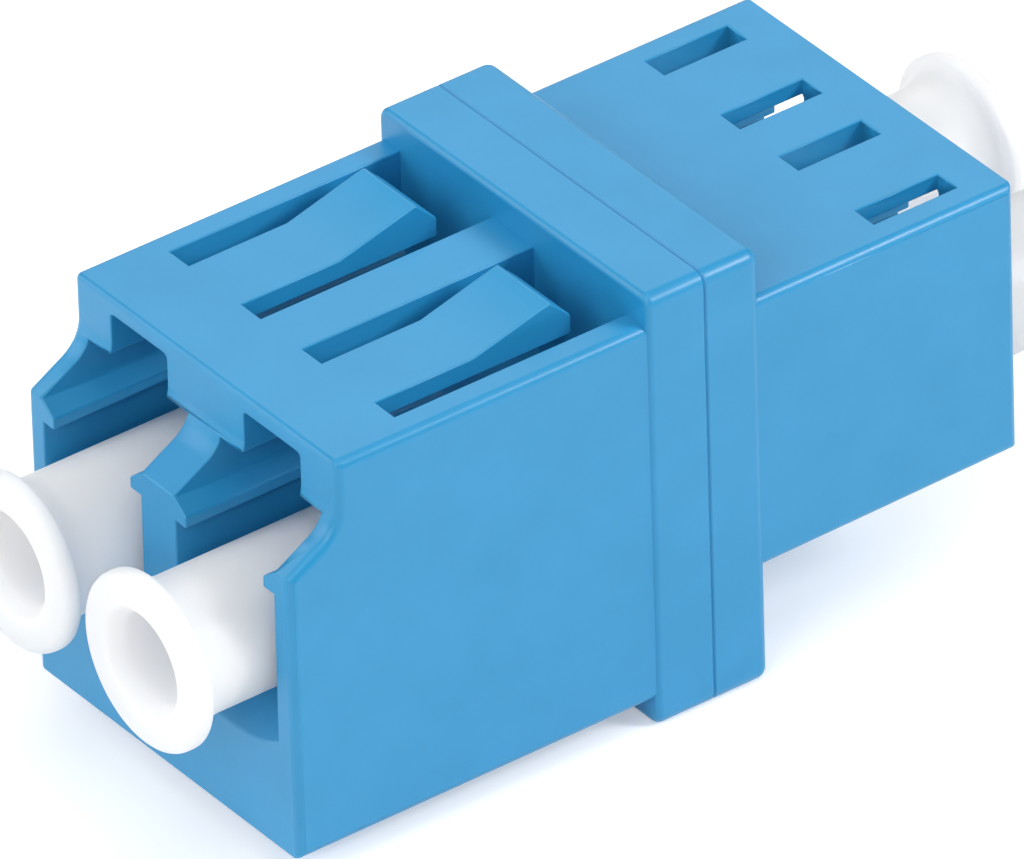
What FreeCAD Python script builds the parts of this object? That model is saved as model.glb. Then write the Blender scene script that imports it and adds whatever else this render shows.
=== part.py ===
import FreeCAD, Part
import math
import os

# Duplex LC fibre-optic adapter with its four dust caps.
#
# Frame, in millimetres: +Z is up, X runs across the two fibre channels, and Y runs along the
# fibres. The origin is on the parting plane between the two half-housings, midway between the
# channels, at the height of the flange's lower edge. The front half lies at -Y, the rear at +Y.

Vector = FreeCAD.Vector
Y_AXIS = Vector(0, 1, 0)

# --- Driving dimensions: port interface -------------------------------------------------------
port_pitch = 6.25            # between the two fibre axes
port_size = 4.6              # width and height of the square space for a plug's body
latch_chamber_width = 4.7    # space above the ledges, where the plug's lugs travel
latch_notch_width = 2.64     # keyway in the roof for the plug's latch arm
latch_notch_corner = 0.15    # rounding of the keyway's upper corners
shoulder_above_axis = 4.4    # underside of the two shoulders beside the keyway
front_notch_above_axis = 5.76
rear_notch_above_axis = 5.11
ledge_reach = 0.5            # each ledge's reach in from the side of the plug space
ledge_tip_thickness = 0.37
ledge_root_thickness = 0.8

# --- Driving dimensions: housings -------------------------------------------------------------
side_wall = 0.775            # beside the plug space
roof_thickness = 0.54        # above the keyway
front_base_thickness = 4.1   # under the front plug spaces
rear_base_thickness = 1.2    # under the rear plug spaces, at the flange
rear_base_draft = 0.15       # the rear underside rises by this to the rear end
front_length = 14.5          # parting plane to the lower front face
rear_length = 10.95          # parting plane to the rear face
rear_side_inset = 0.05       # rear body's side behind the flange's side
body_edge_radius = 0.3
brow_edge_radius = 0.18      # cross edge at the front of the top face
flange_front_depth = 2.0
flange_rear_depth = 1.95
flange_lip_top = 1.0         # flange above the front body
flange_lip_bottom = 0.9      # flange below the front body
flange_lip_side = 0.1        # flange beside the front body
flange_corner_radius = 0.4
flange_front_edge_radius = 0.2
flange_rear_edge_radius = 0.35
parting_chamfer = 0.06       # each half's share of the groove around the joint

# --- Driving dimensions: front mouth ----------------------------------------------------------
brow_setback = 1.75          # upper front face behind the lower front face
brow_height = 1.5            # straight part of the upper front face
scoop_radius = 1.2           # concave arc below the brow
scoop_ramp_angle = 30.0      # slope of the ramp from the arc to the lower front face, degrees
lead_in_radius = 4.6         # hollow in the base's front edge, about a line above the fibre axis
lead_in_drop = 1.0           # hollow's depth below the port floor, at the front face
lead_in_depth = 1.3          # hollow's reach back along the floor

# --- Driving dimensions: panel tongues --------------------------------------------------------
tongue_width = 2.5
tongue_slot_width = 0.9
tongue_root_setback = 2.7    # slots' closed end behind the upper front face
panel_gap = 1.25             # between the tongues' tips and the flange
tongue_tip_rise = 0.72       # tip above the top face
tongue_tip_chamfer = 0.7
tongue_ramp_length = 2.7

# --- Driving dimensions: rear lug windows -----------------------------------------------------
window_width = 0.9           # outward from the keyway's side, in the top face
window_length = 2.9
window_setback = 1.35        # window's rear edge from the rear face
window_ramp_length = 0.9     # slope at the window's front end
window_ramp_drop = 0.06      # slope's upper edge below the roof

# --- Driving dimensions: sleeves and their holders --------------------------------------------
ferrule_bore = 1.25
sleeve_wall = 0.175
sleeve_length = 6.6
sleeve_slot = 0.3
sleeve_edge_chamfer = 0.05
holder_wall = 0.6
holder_lip_thickness = 0.95
holder_lip_bore = 1.4        # narrow end of the tapered lead-in, which keeps the sleeve in
holder_mouth_bore = 2.0      # wide end of the lead-in
holder_mouth_chamfer = 0.125

# --- Driving dimensions: joint between the halves ---------------------------------------------
pin_diameter = 1.2
pin_length = 0.8
pin_edge_distance = 1.7      # pin's centre from the flange's side and from its lower or upper edge

# --- Driving dimensions: dust caps ------------------------------------------------------------
cap_front_stand_out = 3.0    # rim beyond the lower front face
cap_rear_stand_out = 5.6     # rim beyond the rear face
cap_rim_gap = 0.75           # between the rims of two neighbouring caps
cap_lip_radius = 0.3         # rounded edge of the rim
cap_flare_length = 1.6       # rim and the concave flare behind it
cap_hole_diameter = 2.8      # blind hole in the outer end
cap_hole_depth = 5.2
cap_dish_diameter = 3.4      # soft conical entry of that hole
cap_dish_depth = 0.5
cap_web = 1.2                # between the outer hole and the inner bore
cap_nose_chamfer = 0.2

# --- Named clearances -------------------------------------------------------------------------
sleeve_clearance = 0.05      # radial, sleeve to holder
sleeve_end_play = 0.05       # at each end of the sleeve
pin_clearance = 0.05         # radial, pin to socket
pin_end_clearance = 0.1
cap_port_clearance = 0.2     # cap barrel to the plug space's sides
cap_bore_clearance = 0.05    # radial, cap bore to sleeve holder
cap_seat_gap = 0.1           # least gap from a cap's inner end to the bulkhead
cut_overrun = 1.0            # how far a cutting tool runs past the face that it opens

# --- Derived sizes ----------------------------------------------------------------------------
port_half = port_size / 2
chamber_half = latch_chamber_width / 2
notch_half = latch_notch_width / 2
front_half_width = port_pitch / 2 + port_half + side_wall
flange_half_width = front_half_width + flange_lip_side
rear_half_width = flange_half_width - rear_side_inset
front_bottom = flange_lip_bottom
axis_height = front_bottom + front_base_thickness + port_half
front_top = axis_height + front_notch_above_axis + roof_thickness
flange_top = front_top + flange_lip_top
rear_bottom = axis_height - port_half - rear_base_thickness
rear_top = axis_height + rear_notch_above_axis + roof_thickness
shoulder_height = axis_height + shoulder_above_axis
brow_y = -(front_length - brow_setback)
sleeve_radius = ferrule_bore / 2 + sleeve_wall
seat_radius = sleeve_radius + sleeve_clearance
seat_depth = sleeve_length / 2 + sleeve_end_play
holder_radius = seat_radius + holder_wall
holder_reach = seat_depth + holder_lip_thickness
cap_barrel_radius = port_half - cap_port_clearance
cap_bore_radius = holder_radius + cap_bore_clearance
cap_rim_radius = (port_pitch - cap_rim_gap) / 2
cap_front_end = front_length + cap_front_stand_out
cap_rear_end = rear_length + cap_rear_stand_out
cap_length = min(cap_front_end - flange_front_depth, cap_rear_end - flange_rear_depth) - cap_seat_gap
pin_x = flange_half_width - pin_edge_distance
pin_places = [(-pin_x, pin_edge_distance), (pin_x, flange_top - pin_edge_distance)]
channel_centres = {"left": -port_pitch / 2, "right": port_pitch / 2}


# --- Small geometry helpers -------------------------------------------------------------------
def block(x_low, x_high, y_low, y_high, z_low, z_high):
    """Box between two opposite corners."""
    return Part.makeBox(x_high - x_low, y_high - y_low, z_high - z_low,
                        Vector(x_low, y_low, z_low))


def rod(x, z, radius, y_low, y_high):
    """Cylinder along Y."""
    return Part.makeCylinder(radius, y_high - y_low, Vector(x, y_low, z), Y_AXIS)


def cone(x, z, radius_low, radius_high, y_low, y_high):
    """Cone frustum along Y."""
    return Part.makeCone(radius_low, radius_high, y_high - y_low, Vector(x, y_low, z), Y_AXIS)


def prism(points, direction):
    """Straight extrusion of a closed polygon."""
    outline = Part.makePolygon(points + [points[0]])
    return Part.Face(outline).extrude(direction)


def edges_where(shape, test):
    """Edges whose bounding box passes the test."""
    return [edge for edge in shape.Edges if test(edge.BoundBox)]


def is_at(value, target):
    """True where two coordinates agree within a micron."""
    return abs(value - target) < 1e-3


def runs_along_y(box, tolerance=1e-3):
    """True for the bounding box of an edge that is parallel to Y."""
    return box.XLength < tolerance and box.ZLength < tolerance


# --- Ports ------------------------------------------------------------------------------------
def port_space(centre_x, notch_above_axis, y_low, y_high):
    """Space of one port: plug space, ledges, lug chamber and keyway, between two Y values."""
    floor = axis_height - port_half
    ledge_bottom = axis_height + port_half
    notch_top = axis_height + notch_above_axis
    right_side = [
        (port_half, floor),
        (port_half, ledge_bottom),
        (port_half - ledge_reach, ledge_bottom),
        (port_half - ledge_reach, ledge_bottom + ledge_tip_thickness),
        (chamber_half, ledge_bottom + ledge_root_thickness),
        (chamber_half, shoulder_height),
        (notch_half, shoulder_height),
        (notch_half, notch_top),
    ]
    left_side = [(-x, z) for x, z in reversed(right_side)]
    points = [Vector(centre_x + x, y_low, z) for x, z in right_side + left_side]
    space = prism(points, Vector(0, y_high - y_low, 0))
    corners = edges_where(space, lambda box: runs_along_y(box) and is_at(box.ZMin, notch_top))
    return space.makeFillet(latch_notch_corner, corners)


def port_lead_in(centre_x):
    """Hollow that leads a plug or cap over the base's front edge."""
    hollow_axis = axis_height - port_half - lead_in_drop + lead_in_radius
    back_y = -front_length + lead_in_depth
    hollow = cone(centre_x, hollow_axis, lead_in_radius, lead_in_radius - lead_in_drop,
                  -front_length, back_y)
    limits = block(centre_x - port_half, centre_x + port_half,
                   -front_length - cut_overrun, back_y,
                   front_bottom, axis_height)
    return hollow.common(limits)


# --- Sleeve holders and the joint between the halves ------------------------------------------
def sleeve_holder(centre_x, side):
    """Barrel that stands out from a bulkhead; side is -1 for the front half, 1 for the rear."""
    barrel = rod(centre_x, axis_height, holder_radius, 0, holder_reach)
    barrel = barrel.makeChamfer(holder_mouth_chamfer, edges_where(
        barrel, lambda box: is_at(box.YMin, holder_reach)))
    return barrel if side > 0 else mirrored_in_parting_plane(barrel)


def sleeve_seat(centre_x, side):
    """Bore for one half of a sleeve and the tapered lead-in through the lip that retains it."""
    seat = rod(centre_x, axis_height, seat_radius, -cut_overrun, seat_depth)
    lead_in = cone(centre_x, axis_height, holder_lip_bore / 2, holder_mouth_bore / 2,
                   seat_depth, holder_reach)
    space = seat.fuse(lead_in)
    return space if side > 0 else mirrored_in_parting_plane(space)


def mirrored_in_parting_plane(shape):
    """Mirror image of a shape on the other side of the parting plane."""
    return shape.mirror(Vector(0, 0, 0), Y_AXIS)


def locating_pins():
    """Pins on the front half that enter the rear half."""
    return [rod(x, z, pin_diameter / 2, -pin_length, pin_length) for x, z in pin_places]


def pin_sockets():
    """Sockets in the rear half for the locating pins."""
    radius = pin_diameter / 2 + pin_clearance
    depth = pin_length + pin_end_clearance
    return [rod(x, z, radius, -cut_overrun, depth) for x, z in pin_places]


def flange_half(depth, edge_radius, side):
    """One half of the flange, rounded at its outer face and chamfered at the joint."""
    plate = block(-flange_half_width, flange_half_width, 0, depth, 0, flange_top)
    plate = plate.makeFillet(flange_corner_radius, edges_where(plate, runs_along_y))
    plate = plate.makeFillet(edge_radius, edges_where(
        plate, lambda box: is_at(box.YMin, depth)))
    plate = plate.makeChamfer(parting_chamfer, edges_where(
        plate, lambda box: is_at(box.YMax, 0)))
    return plate if side > 0 else mirrored_in_parting_plane(plate)


# --- Front half -------------------------------------------------------------------------------
def front_side_outline():
    """Closed side outline of the front body: brow, concave scoop, ramp and lower front face."""
    face_y = -front_length
    scoop_top = front_top - brow_height
    turn = math.radians(90.0 - scoop_ramp_angle)
    centre_y = brow_y - scoop_radius

    def on_scoop(angle):
        return Vector(-front_half_width, centre_y + scoop_radius * math.cos(angle),
                      scoop_top - scoop_radius * math.sin(angle))

    scoop_start = on_scoop(0)
    scoop_end = on_scoop(turn)
    ramp_run = scoop_end.y - face_y
    ramp_foot = Vector(-front_half_width, face_y,
                       scoop_end.z - ramp_run * math.tan(math.radians(scoop_ramp_angle)))
    base_front = Vector(-front_half_width, face_y, front_bottom)
    base_back = Vector(-front_half_width, 0, front_bottom)
    top_back = Vector(-front_half_width, 0, front_top)
    top_front = Vector(-front_half_width, brow_y, front_top)
    edges = [
        Part.Arc(scoop_start, on_scoop(turn / 2), scoop_end).toShape(),
        Part.makeLine(scoop_end, ramp_foot),
        Part.makeLine(ramp_foot, base_front),
        Part.makeLine(base_front, base_back),
        Part.makeLine(base_back, top_back),
        Part.makeLine(top_back, top_front),
        Part.makeLine(top_front, scoop_start),
    ]
    return Part.Wire(edges)


def front_block():
    """Front body without its ports, with its side edges and its front cross edges rounded."""
    body = Part.Face(front_side_outline()).extrude(Vector(2 * front_half_width, 0, 0))

    def on_side(box):
        at_side = is_at(box.XMin, box.XMax) and is_at(abs(box.XMin), front_half_width)
        at_joint = is_at(box.YMin, 0)
        return at_side and not at_joint

    def on_brow(box):
        return is_at(box.YMax, brow_y) and is_at(box.ZMax, front_top) and box.ZLength < 1e-3

    body = body.makeFillet(body_edge_radius, edges_where(body, on_side))
    return body.makeFillet(brow_edge_radius, edges_where(body, on_brow))


def tongue(centre_x):
    """Sprung tongue that snaps over a panel's edge: a flat root, a ramp and a chamfered tip."""
    tip_back = -(flange_front_depth + panel_gap)
    tip_front = tip_back - tongue_tip_chamfer
    ramp_start = tip_front - tongue_ramp_length
    tip_top = front_top + tongue_tip_rise
    underside = axis_height + front_notch_above_axis
    outline = [(ramp_start, underside), (ramp_start, front_top), (tip_front, tip_top),
               (tip_back, tip_top - tongue_tip_chamfer), (tip_back, underside)]
    left = centre_x - tongue_width / 2
    points = [Vector(left, y, z) for y, z in outline]
    return prism(points, Vector(tongue_width, 0, 0))


def tongue_slots(centre_x):
    """The two slots beside a tongue, and the gap between its tip and the flange."""
    root_y = brow_y + tongue_root_setback
    flange_y = -flange_front_depth
    inner = tongue_width / 2
    outer = inner + tongue_slot_width
    above = front_top + cut_overrun
    tools = [block(centre_x - outer, centre_x + outer, flange_y - panel_gap, flange_y,
                   shoulder_height, above)]
    for low, high in ((-outer, -inner), (inner, outer)):
        tools.append(block(centre_x + low, centre_x + high, root_y, flange_y,
                           shoulder_height, above))
    return tools


def build_front_housing():
    """Front half-housing: ports, tongues, sleeve holders, locating pins and half the flange."""
    bulkhead_y = -flange_front_depth
    body = front_block()
    cutters = []
    for centre_x in channel_centres.values():
        cutters.append(port_space(centre_x, front_notch_above_axis,
                                  -front_length - cut_overrun, bulkhead_y))
        cutters.append(port_lead_in(centre_x))
        cutters.extend(tongue_slots(centre_x))
    body = body.cut(cutters)
    additions = [flange_half(flange_front_depth, flange_front_edge_radius, -1)]
    seats = []
    for centre_x in channel_centres.values():
        additions.append(tongue(centre_x))
        additions.append(sleeve_holder(centre_x, -1))
        seats.append(sleeve_seat(centre_x, -1))
    body = body.fuse(additions).cut(seats)
    return body.fuse(locating_pins()).removeSplitter()


# --- Rear half --------------------------------------------------------------------------------
def rear_block():
    """Rear body without its ports: a box whose underside rises slightly to the rear."""
    outline = [(0, rear_bottom), (rear_length, rear_bottom + rear_base_draft),
               (rear_length, rear_top), (0, rear_top)]
    points = [Vector(-rear_half_width, y, z) for y, z in outline]
    body = prism(points, Vector(2 * rear_half_width, 0, 0))

    def off_the_joint(box):
        long_edge = box.YMax - box.YMin > rear_length / 2
        rear_upright = is_at(box.YMin, rear_length) and box.ZLength > box.XLength
        return long_edge or rear_upright

    return body.makeFillet(body_edge_radius, edges_where(body, off_the_joint))


def lug_window(centre_x, side):
    """Window in the rear roof where a plug's lug latches, open to the keyway below the roof.

    The side is -1 left of the fibre axis and 1 right of it.
    """
    back_y = rear_length - window_setback
    front_y = back_y - window_length
    roof_underside = rear_top - roof_thickness
    ramp_top = roof_underside - window_ramp_drop
    foot = shoulder_height - cut_overrun / 2
    outer = notch_half + window_width

    def space(inner, top):
        outline = [(front_y, top), (front_y, ramp_top), (front_y + window_ramp_length, foot),
                   (back_y, foot), (back_y, top)]
        left = centre_x + min(inner * side, outer * side)
        points = [Vector(left, y, z) for y, z in outline]
        return prism(points, Vector(outer - inner, 0, 0))

    return space(notch_half, rear_top + cut_overrun).fuse(space(0, roof_underside))


def build_rear_housing():
    """Rear half-housing: ports, lug windows, sleeve holders, pin sockets and half the flange."""
    cutters = []
    additions = [flange_half(flange_rear_depth, flange_rear_edge_radius, 1)]
    seats = pin_sockets()
    for centre_x in channel_centres.values():
        cutters.append(port_space(centre_x, rear_notch_above_axis,
                                  flange_rear_depth, rear_length + cut_overrun))
        cutters.append(lug_window(centre_x, -1))
        cutters.append(lug_window(centre_x, 1))
        additions.append(sleeve_holder(centre_x, 1))
        seats.append(sleeve_seat(centre_x, 1))
    body = rear_block().cut(cutters)
    return body.fuse(additions).cut(seats).removeSplitter()


# --- Sleeves ----------------------------------------------------------------------------------
def build_sleeve(centre_x):
    """Split alignment sleeve, centred on the parting plane, with its slot at the top."""
    half = sleeve_length / 2
    inner = ferrule_bore / 2
    tube = rod(centre_x, axis_height, sleeve_radius, -half, half)
    tube = tube.cut(rod(centre_x, axis_height, inner, -half, half))
    tube = tube.makeChamfer(sleeve_edge_chamfer, edges_where(
        tube, lambda box: box.YLength < 1e-3 and box.XLength > 1e-3))
    slot = block(centre_x - sleeve_slot / 2, centre_x + sleeve_slot / 2, -half, half,
                 axis_height, axis_height + sleeve_radius + cut_overrun)
    return tube.cut(slot)


# --- Dust caps --------------------------------------------------------------------------------
def cap_outline(centre_x, outer_end):
    """Half-section of a rear cap's outside, from its nose to its rounded rim."""
    inner_end = outer_end - cap_length
    flare_start = outer_end - cap_flare_length
    lip_start = outer_end - 2 * cap_lip_radius
    lip_radius = cap_rim_radius - cap_lip_radius
    run = lip_start - flare_start
    climb = lip_radius - cap_barrel_radius
    arc_radius = (run ** 2 + climb ** 2) / (2 * climb)
    half_turn = math.asin(run / arc_radius) / 2

    def at(y, radius):
        return Vector(centre_x, y, axis_height + radius)

    nose_axis = at(inner_end, 0)
    nose_edge = at(inner_end, cap_barrel_radius - cap_nose_chamfer)
    nose_side = at(inner_end + cap_nose_chamfer, cap_barrel_radius)
    flare_foot = at(flare_start, cap_barrel_radius)
    flare_middle = at(flare_start + arc_radius * math.sin(half_turn),
                      cap_barrel_radius + arc_radius * (1 - math.cos(half_turn)))
    lip_back = at(lip_start, lip_radius)
    lip_crest = at(lip_start + cap_lip_radius, cap_rim_radius)
    lip_front = at(outer_end, lip_radius)
    end_axis = at(outer_end, 0)
    edges = [
        Part.makeLine(nose_axis, nose_edge),
        Part.makeLine(nose_edge, nose_side),
        Part.makeLine(nose_side, flare_foot),
        Part.Arc(flare_foot, flare_middle, lip_back).toShape(),
        Part.Arc(lip_back, lip_crest, lip_front).toShape(),
        Part.makeLine(lip_front, end_axis),
        Part.makeLine(end_axis, nose_axis),
    ]
    return Part.Wire(edges)


def build_cap(centre_x, side):
    """Dust cap: a flared barrel with a bore over the sleeve holder and a hole in its outer end.

    All four are the same moulding, as long as the end with less room allows.
    """
    outer_end = cap_rear_end if side > 0 else cap_front_end
    centre = Vector(centre_x, 0, axis_height)
    body = Part.Face(cap_outline(centre_x, outer_end)).revolve(centre, Y_AXIS, 360)
    hole_end = outer_end - cap_hole_depth
    bore = rod(centre_x, axis_height, cap_bore_radius,
               outer_end - cap_length - cut_overrun, hole_end - cap_web)
    hole = rod(centre_x, axis_height, cap_hole_diameter / 2,
               hole_end, outer_end + cut_overrun)
    dish = cone(centre_x, axis_height, cap_hole_diameter / 2, cap_dish_diameter / 2,
                outer_end - cap_dish_depth, outer_end)
    cap = body.cut([bore, hole, dish])
    return cap if side > 0 else mirrored_in_parting_plane(cap)


# --- All pieces -------------------------------------------------------------------------------
def build_pieces():
    """Every piece by name."""
    pieces = {
        "housing_front": build_front_housing(),
        "housing_rear": build_rear_housing(),
    }
    for channel, centre_x in channel_centres.items():
        pieces["sleeve_" + channel] = build_sleeve(centre_x)
        pieces["cap_front_" + channel] = build_cap(centre_x, -1)
        pieces["cap_rear_" + channel] = build_cap(centre_x, 1)
    return pieces


os.makedirs("parts", exist_ok=True)
for name, shape in build_pieces().items():
    solid = shape.Solids[0] if len(shape.Solids) == 1 else shape
    solid.exportStep(f"parts/{name}.step")
    print(name, "solids", len(shape.Solids), "valid", shape.isValid(), "volume", round(shape.Volume, 3))
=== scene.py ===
import math

import bmesh
import bpy
from mathutils import Matrix, Vector


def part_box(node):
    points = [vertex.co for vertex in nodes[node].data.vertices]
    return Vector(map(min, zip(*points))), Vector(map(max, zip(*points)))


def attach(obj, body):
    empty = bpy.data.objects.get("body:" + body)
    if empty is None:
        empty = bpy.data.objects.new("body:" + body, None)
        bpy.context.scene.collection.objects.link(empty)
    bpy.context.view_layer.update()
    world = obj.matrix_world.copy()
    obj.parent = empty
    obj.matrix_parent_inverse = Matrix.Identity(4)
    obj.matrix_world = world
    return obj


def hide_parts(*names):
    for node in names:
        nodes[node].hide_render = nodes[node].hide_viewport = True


# Duplex LC fibre-optic adapter: a blue housing in two halves, four white dust caps and two
# ceramic sleeves. The ports open at -Y and +Y, and the panel tongues are on top (+Z).
# Lengths are in metres.

MM = 0.001
CHANNELS = ("left", "right")
WHITE = (1, 1, 1, 1)

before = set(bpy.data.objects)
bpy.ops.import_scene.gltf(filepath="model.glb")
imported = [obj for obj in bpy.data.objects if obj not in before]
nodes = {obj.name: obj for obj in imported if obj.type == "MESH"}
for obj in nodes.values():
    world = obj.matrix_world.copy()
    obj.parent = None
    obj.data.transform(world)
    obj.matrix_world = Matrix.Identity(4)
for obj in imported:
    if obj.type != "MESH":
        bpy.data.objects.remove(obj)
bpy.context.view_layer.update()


def axis_vector(azimuth, elevation):
    """Unit vector from the object towards a camera or lamp; azimuth 0 is -Y and 90 is +X."""
    return Vector((math.sin(azimuth) * math.cos(elevation),
                   -math.cos(azimuth) * math.cos(elevation),
                   math.sin(elevation)))


def link(obj):
    bpy.context.collection.objects.link(obj)
    return obj


# --- Camera ---------------------------------------------------------------------------------
CAMERA_AZIMUTH = math.radians(54.12)
CAMERA_ELEVATION = math.radians(34.38)
CAMERA_ROLL = math.radians(-1.795)
CAMERA_DISTANCE = 701.9 * MM
CAMERA_LENS = 880.1          # millimetres, as Blender states it
SENSOR_WIDTH = 36            # millimetres
CLIP_START = 0.01
CLIP_END = 100
AIM = Vector((0, -1.65 * MM, 13.6 * MM))
AIM_RIGHT = -0.295 * MM      # the picture's centre from the aim point, to the right
AIM_UP = -5.674 * MM         # and upwards


def add_camera():
    back = axis_vector(CAMERA_AZIMUTH, CAMERA_ELEVATION)
    level_right = Vector((math.cos(CAMERA_AZIMUTH), math.sin(CAMERA_AZIMUTH), 0))
    level_up = back.cross(level_right)
    right = level_right * math.cos(CAMERA_ROLL) + level_up * math.sin(CAMERA_ROLL)
    up = level_up * math.cos(CAMERA_ROLL) - level_right * math.sin(CAMERA_ROLL)
    data = bpy.data.cameras.new("camera")
    data.sensor_width = SENSOR_WIDTH
    data.lens = CAMERA_LENS
    data.clip_start = CLIP_START
    data.clip_end = CLIP_END
    camera = link(bpy.data.objects.new("camera", data))
    turn = Matrix((right, up, back)).transposed().to_4x4()
    place = AIM + right * AIM_RIGHT + up * AIM_UP + back * CAMERA_DISTANCE
    camera.matrix_world = Matrix.Translation(place) @ turn
    bpy.context.scene.camera = camera


# --- Light and floor ------------------------------------------------------------------------
WORLD_STRENGTH = 0.03
FLOOR_SIZE = 4.0
FLOOR_HEIGHT = -0.02 * MM
FLOOR_SHADE = 0.9
FLOOR_ROUGHNESS = 0.8
FLOOR_GLOW = 0.35            # added where the floor is seen, so that it reads as white
LAMP_DISTANCE = 0.4
# name: azimuth and elevation in degrees, diameter in metres, power in watts
LAMPS = {
    "key": (133.6, 34, 0.12, 0.85),
    "sheen": (135, 45, 0.45, 0.2),
    "rear_left": (234, 34, 0.35, 0.41),
    "front": (20, 30, 0.3, 0.55),
    "front_left": (-45, 28, 0.35, 0.69),
    "front_right": (42, 38, 0.3, 0.21),
    "overhead": (60, 80, 0.35, 0.48),
}


def add_lamp(name, azimuth, elevation, size, power):
    data = bpy.data.lights.new(name, "AREA")
    data.shape = "DISK"
    data.size = size
    data.energy = power
    lamp = link(bpy.data.objects.new(name, data))
    direction = axis_vector(math.radians(azimuth), math.radians(elevation))
    lamp.location = direction * LAMP_DISTANCE
    lamp.rotation_euler = direction.to_track_quat("Z", "Y").to_euler()


def add_values(tree, first, second):
    """Sum of two values, no higher than 1."""
    node = tree.nodes.new("ShaderNodeMath")
    node.operation = "ADD"
    node.use_clamp = True
    tree.links.new(first, node.inputs[0])
    tree.links.new(second, node.inputs[1])
    return node.outputs[0]


def add_floor():
    """Pale floor that takes the object's shadow and glows a little where it is seen."""
    bpy.ops.mesh.primitive_plane_add(size=FLOOR_SIZE, location=(0, 0, FLOOR_HEIGHT))
    floor = bpy.context.object
    floor.name = "floor"
    material = bpy.data.materials.new("floor")
    material.use_nodes = True
    tree = material.node_tree
    shader = tree.nodes["Principled BSDF"]
    shader.inputs["Base Color"].default_value = (FLOOR_SHADE, FLOOR_SHADE, FLOOR_SHADE, 1)
    shader.inputs["Roughness"].default_value = FLOOR_ROUGHNESS
    shader.inputs["Emission Color"].default_value = WHITE
    path = tree.nodes.new("ShaderNodeLightPath")
    seen = add_values(tree, path.outputs["Is Camera Ray"], path.outputs["Is Glossy Ray"])
    seen = add_values(tree, seen, path.outputs["Is Transmission Ray"])
    glow = tree.nodes.new("ShaderNodeMath")
    glow.operation = "MULTIPLY"
    glow.inputs[1].default_value = FLOOR_GLOW
    tree.links.new(seen, glow.inputs[0])
    tree.links.new(glow.outputs[0], shader.inputs["Emission Strength"])
    floor.data.materials.append(material)


def add_world():
    world = bpy.data.worlds.new("studio")
    world.use_nodes = True
    bpy.context.scene.world = world
    background = world.node_tree.nodes["Background"]
    background.inputs["Color"].default_value = WHITE
    background.inputs["Strength"].default_value = WORLD_STRENGTH


# --- Material helpers -----------------------------------------------------------------------
NOISE_LOW = 0.3              # a noise value stays mostly between these two
NOISE_HIGH = 0.7


def noise(tree, coordinates, size, detail):
    """Noise whose blobs are about `size` across, as a value around 0.5."""
    node = tree.nodes.new("ShaderNodeTexNoise")
    node.inputs["Scale"].default_value = 1 / size
    node.inputs["Detail"].default_value = detail
    tree.links.new(coordinates, node.inputs["Vector"])
    return node.outputs["Fac"]


def between(tree, value, low, high):
    """A value that runs from `low` to `high` while a noise value covers its usual spread."""
    node = tree.nodes.new("ShaderNodeMapRange")
    node.inputs["From Min"].default_value = NOISE_LOW
    node.inputs["From Max"].default_value = NOISE_HIGH
    node.inputs["To Min"].default_value = low
    node.inputs["To Max"].default_value = high
    tree.links.new(value, node.inputs["Value"])
    return node.outputs["Result"]


def mix_colors(tree, value, first, second):
    """Colour that runs from `first` to `second` with a noise value."""
    node = tree.nodes.new("ShaderNodeMix")
    node.data_type = "RGBA"
    node.inputs["A"].default_value = (*first, 1)
    node.inputs["B"].default_value = (*second, 1)
    tree.links.new(between(tree, value, 0, 1), node.inputs["Factor"])
    return node.outputs["Result"]


def bump(tree, height, depth, below=None):
    """Normal for a relief `depth` deep, on top of another relief if one is given."""
    node = tree.nodes.new("ShaderNodeBump")
    node.inputs["Strength"].default_value = 1.0
    node.inputs["Distance"].default_value = depth
    tree.links.new(height, node.inputs["Height"])
    if below is not None:
        tree.links.new(below, node.inputs["Normal"])
    return node.outputs["Normal"]


def new_material(name):
    """A material with its node tree, its shader and the object's own coordinates."""
    material = bpy.data.materials.new(name)
    material.use_nodes = True
    tree = material.node_tree
    coordinates = tree.nodes.new("ShaderNodeTexCoord").outputs["Object"]
    return material, tree, tree.nodes["Principled BSDF"], coordinates


# --- Housing plastic ------------------------------------------------------------------------
BLUE_DEEP = (0.020, 0.285, 0.56)
BLUE_LIGHT = (0.026, 0.305, 0.60)
HOUSING_ROUGHNESS = (0.33, 0.40)
HOUSING_CLOUD_SIZE = 2.4 * MM
HOUSING_GRAIN_SIZE = 0.09 * MM
HOUSING_GRAIN_DEPTH = 0.0012 * MM
HOUSING_WAVE_SIZE = 1.6 * MM
HOUSING_WAVE_DEPTH = 0.003 * MM


def housing_plastic():
    """Blue PBT from a satin mould: even colour, a fine grain and slow waves from shrinkage."""
    material, tree, shader, place = new_material("housing_plastic")
    cloud = noise(tree, place, HOUSING_CLOUD_SIZE, detail=3)
    grain = noise(tree, place, HOUSING_GRAIN_SIZE, detail=3)
    wave = noise(tree, place, HOUSING_WAVE_SIZE, detail=1)
    tree.links.new(mix_colors(tree, cloud, BLUE_DEEP, BLUE_LIGHT), shader.inputs["Base Color"])
    tree.links.new(between(tree, grain, *HOUSING_ROUGHNESS), shader.inputs["Roughness"])
    slow = bump(tree, wave, HOUSING_WAVE_DEPTH)
    fine = bump(tree, grain, HOUSING_GRAIN_DEPTH, slow)
    tree.links.new(fine, shader.inputs["Normal"])
    return material


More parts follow.
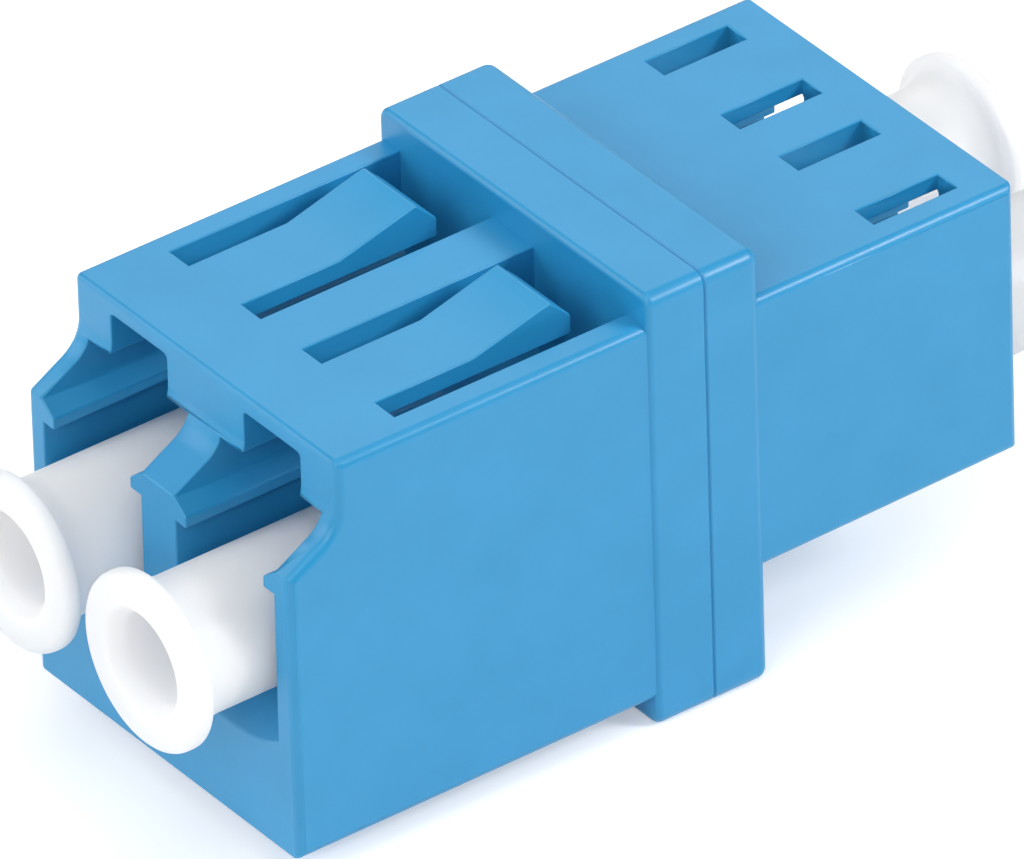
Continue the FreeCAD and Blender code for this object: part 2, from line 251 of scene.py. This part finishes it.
# --- Cap plastic ----------------------------------------------------------------------------
WHITE_COOL = (0.965, 0.95, 0.975)
WHITE_WARM = (0.985, 0.97, 0.985)
CAP_ROUGHNESS = (0.40, 0.50)
CAP_CLOUD_SIZE = 1.8 * MM
CAP_GRAIN_SIZE = 0.12 * MM
CAP_GRAIN_DEPTH = 0.0012 * MM
CAP_WAVE_SIZE = 0.9 * MM
CAP_WAVE_DEPTH = 0.008 * MM
CAP_SCATTER_RADIUS = (1.0, 0.95, 0.95)
CAP_SCATTER_SCALE = 2 * MM


def cap_plastic():
    """Soft white polyethylene that scatters light inside."""
    material, tree, shader, place = new_material("cap_plastic")
    cloud = noise(tree, place, CAP_CLOUD_SIZE, detail=3)
    grain = noise(tree, place, CAP_GRAIN_SIZE, detail=2)
    wave = noise(tree, place, CAP_WAVE_SIZE, detail=1)
    tree.links.new(mix_colors(tree, cloud, WHITE_COOL, WHITE_WARM), shader.inputs["Base Color"])
    tree.links.new(between(tree, grain, *CAP_ROUGHNESS), shader.inputs["Roughness"])
    shader.inputs["Subsurface Weight"].default_value = 1.0
    shader.inputs["Subsurface Radius"].default_value = CAP_SCATTER_RADIUS
    shader.inputs["Subsurface Scale"].default_value = CAP_SCATTER_SCALE
    slow = bump(tree, wave, CAP_WAVE_DEPTH)
    fine = bump(tree, grain, CAP_GRAIN_DEPTH, slow)
    tree.links.new(fine, shader.inputs["Normal"])
    return material


# --- Sleeve ceramic -------------------------------------------------------------------------
CERAMIC_DARK = (0.80, 0.79, 0.73)
CERAMIC_LIGHT = (0.86, 0.85, 0.80)
SLEEVE_ROUGHNESS = (0.22, 0.32)
SLEEVE_CLOUD_SIZE = 0.8 * MM
SLEEVE_RING_SIZE = 1.2 * MM
SLEEVE_RING_DEPTH = 0.001 * MM
SLEEVE_RING_DISTORTION = 2.0


def sleeve_ceramic():
    """Ground zirconia: off-white, with faint grinding marks around the tube."""
    material, tree, shader, place = new_material("sleeve_ceramic")
    cloud = noise(tree, place, SLEEVE_CLOUD_SIZE, detail=2)
    rings = tree.nodes.new("ShaderNodeTexWave")
    rings.bands_direction = "Y"
    rings.inputs["Scale"].default_value = 1 / SLEEVE_RING_SIZE
    rings.inputs["Distortion"].default_value = SLEEVE_RING_DISTORTION
    tree.links.new(place, rings.inputs["Vector"])
    tint = mix_colors(tree, cloud, CERAMIC_DARK, CERAMIC_LIGHT)
    tree.links.new(tint, shader.inputs["Base Color"])
    tree.links.new(between(tree, cloud, *SLEEVE_ROUGHNESS), shader.inputs["Roughness"])
    relief = bump(tree, rings.outputs["Fac"], SLEEVE_RING_DEPTH)
    tree.links.new(relief, shader.inputs["Normal"])
    return material


# --- Housing halves -------------------------------------------------------------------------
EDGE_ROUNDING = 0.06 * MM    # on every moulded edge that is not a larger fillet
EDGE_SEGMENTS = 2
LEAST_ROOM = 0.15 * MM       # a narrower face keeps its sharp edges
SHARP_TURN = math.radians(28)
FLAT_TURN = math.radians(0.5)
SAME_POINT = 0.0005 * MM
NORMAL_WEIGHT = 50           # Blender's middle setting: larger faces count for more


def reach_across(edge, face):
    """How far a face reaches from the line of one of its edges."""
    start = edge.verts[0].co
    along = (edge.verts[1].co - start).normalized()
    return max((v.co - start - along * (v.co - start).dot(along)).length for v in face.verts)


def mark_moulded_edges(mesh):
    """Joins flat areas into whole faces, and marks the outward edges that can be rounded.

    Inward edges, and edges beside a narrow face, stay sharp.
    """
    bm = bmesh.new()
    bm.from_mesh(mesh)
    bmesh.ops.remove_doubles(bm, verts=bm.verts, dist=SAME_POINT)
    bmesh.ops.dissolve_limit(bm, angle_limit=FLAT_TURN, verts=bm.verts, edges=bm.edges,
                             use_dissolve_boundaries=False)
    weight = bm.edges.layers.float.new("bevel_weight_edge")
    for face in bm.faces:
        face.smooth = True
    for edge in bm.edges:
        if len(edge.link_faces) != 2 or edge.calc_face_angle() < SHARP_TURN:
            continue
        room = min(reach_across(edge, face) for face in edge.link_faces)
        if edge.is_convex and room > LEAST_ROOM:
            edge[weight] = 1.0
        else:
            edge.smooth = False
    bm.to_mesh(mesh)
    bm.free()


def add_housing_half(name, node, finish):
    """The CAD half with its moulded edges rounded."""
    mesh = nodes[node].data.copy()
    mesh.materials.clear()
    mesh.materials.append(finish)
    mark_moulded_edges(mesh)
    piece = link(bpy.data.objects.new(name, mesh))
    rounding = piece.modifiers.new("rounding", "BEVEL")
    rounding.limit_method = "WEIGHT"
    rounding.width = EDGE_ROUNDING
    rounding.segments = EDGE_SEGMENTS
    rounding.use_clamp_overlap = False
    normals = piece.modifiers.new("normals", "WEIGHTED_NORMAL")
    normals.mode = "FACE_AREA"
    normals.weight = NORMAL_WEIGHT
    normals.keep_sharp = True
    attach(piece, "housing")
    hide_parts(node)


# --- Dust caps ------------------------------------------------------------------------------
CAP_BARREL_RADIUS = 2.1 * MM
CAP_NOSE_CHAMFER = 0.2 * MM
CAP_BORE_RADIUS = 1.5 * MM
CAP_WEB = 1.2 * MM           # between the bore and the hole
CAP_HOLE_RADIUS = 1.4 * MM
CAP_HOLE_DEPTH = 5.2 * MM
CAP_DISH_RADIUS = 1.7 * MM
CAP_DISH_DEPTH = 0.5 * MM
CAP_FLARE_LENGTH = 1.6 * MM
CAP_LIP_RADIUS = 0.3 * MM
CAP_LIP_BACK_RADIUS = CAP_LIP_RADIUS * 0.9
CAP_DISH_EDGE = 0.25 * MM    # rounding between the dish and the rim's face
CAP_HOLE_EDGE = 0.5 * MM     # rounding between the dish and the hole
CAP_BORE_EDGE = 0.08 * MM
CAP_NOSE_EDGE = 0.06 * MM
CAP_INNER_CORNER = 0.15 * MM
CAP_SIDES = 96
ARC_STEPS = 5
FLARE_STEPS = 5
MOST_OF_A_SIDE = 0.5         # share of a straight side that one rounding may take


def rounded_profile(corners):
    """Points along a profile of (radius, depth, rounding) corners, open at both ends.

    A rounding starts and ends where an arc of its radius would.
    """
    points = []
    last = len(corners) - 1
    for i, (radius, depth, rounding) in enumerate(corners):
        corner = Vector((radius, depth))
        if rounding == 0 or i in (0, last):
            points.append(corner)
            continue
        to_back = Vector(corners[i - 1][:2]) - corner
        to_next = Vector(corners[i + 1][:2]) - corner
        half_angle = to_back.angle(to_next) / 2
        cut = min(rounding / math.tan(half_angle),
                  to_back.length * MOST_OF_A_SIDE, to_next.length * MOST_OF_A_SIDE)
        start = corner + to_back.normalized() * cut
        end = corner + to_next.normalized() * cut
        for step in range(ARC_STEPS + 1):
            t = step / ARC_STEPS
            points.append(start * (1 - t) ** 2 + corner * 2 * t * (1 - t) + end * t ** 2)
    return points


def flare_profile(rim_radius, lip):
    """Concave flare from the back of the rim's lip down to the barrel."""
    widening = rim_radius - CAP_LIP_RADIUS - CAP_BARREL_RADIUS
    shares = [step / FLARE_STEPS for step in range(FLARE_STEPS, -1, -1)]
    return [(CAP_BARREL_RADIUS + widening * t ** 2,
             CAP_FLARE_LENGTH - (CAP_FLARE_LENGTH - lip) * t, 0) for t in shares]


def cap_profile(length, rim_radius):
    """Half-section of a cap as (radius, depth behind its outer end), from hole to bore."""
    lip = 2 * CAP_LIP_RADIUS
    bore_end = CAP_HOLE_DEPTH + CAP_WEB
    return rounded_profile([
        (0, CAP_HOLE_DEPTH, 0),
        (CAP_HOLE_RADIUS, CAP_HOLE_DEPTH, CAP_INNER_CORNER),
        (CAP_HOLE_RADIUS, CAP_DISH_DEPTH, CAP_HOLE_EDGE),
        (CAP_DISH_RADIUS, 0, CAP_DISH_EDGE),
        (rim_radius, 0, CAP_LIP_RADIUS),
        (rim_radius, lip, CAP_LIP_BACK_RADIUS),
        *flare_profile(rim_radius, lip),
        (CAP_BARREL_RADIUS, length - CAP_NOSE_CHAMFER, CAP_NOSE_EDGE),
        (CAP_BARREL_RADIUS - CAP_NOSE_CHAMFER, length, CAP_NOSE_EDGE),
        (CAP_BORE_RADIUS, length, CAP_BORE_EDGE),
        (CAP_BORE_RADIUS, bore_end, CAP_INNER_CORNER),
        (0, bore_end, 0),
    ])


def turned_mesh(name, profile, centre, outward):
    """Mesh of a profile turned about a line along Y; `outward` is the sign of its outer end."""
    bm = bmesh.new()
    rings = []
    for radius, depth in profile:
        y = centre.y - outward * depth
        if radius == 0:
            rings.append([bm.verts.new((centre.x, y, centre.z))])
            continue
        ring = []
        for side in range(CAP_SIDES):
            angle = math.tau * side / CAP_SIDES
            ring.append(bm.verts.new((centre.x + radius * math.cos(angle), y,
                                      centre.z + radius * math.sin(angle))))
        rings.append(ring)
    for first, second in zip(rings, rings[1:]):
        for side in range(CAP_SIDES):
            after = (side + 1) % CAP_SIDES
            corners = [first[side % len(first)], first[after % len(first)],
                       second[after % len(second)], second[side % len(second)]]
            # beside a centre point two of the four corners are the same
            bm.faces.new(list(dict.fromkeys(corners)))
    bmesh.ops.recalc_face_normals(bm, faces=bm.faces)
    for face in bm.faces:
        face.smooth = True
    mesh = bpy.data.meshes.new(name)
    bm.to_mesh(mesh)
    bm.free()
    return mesh


def add_cap(node, outward, finish):
    """A flared dust cap with a blind hole in its outer end and a bore in its nose."""
    low, high = (Vector(corner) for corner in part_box(node))
    centre = (low + high) / 2
    centre.y = high.y if outward > 0 else low.y
    profile = cap_profile(high.y - low.y, (high.x - low.x) / 2)
    mesh = turned_mesh(node + "_shape", profile, centre, outward)
    mesh.materials.append(finish)
    piece = link(bpy.data.objects.new(node + "_turned", mesh))
    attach(piece, node)
    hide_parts(node)


# --- All of it ------------------------------------------------------------------------------
add_camera()
add_floor()
add_world()
for lamp, settings in LAMPS.items():
    add_lamp(lamp, *settings)

blue = housing_plastic()
white = cap_plastic()
ceramic = sleeve_ceramic()
add_housing_half("front_half", "housing_front", blue)
add_housing_half("rear_half", "housing_rear", blue)
for channel in CHANNELS:
    add_cap("cap_front_" + channel, -1, white)
    add_cap("cap_rear_" + channel, 1, white)
    sleeve = nodes["sleeve_" + channel]
    sleeve.data.materials.clear()
    sleeve.data.materials.append(ceramic)

bpy.context.scene.view_settings.view_transform = "Standard"
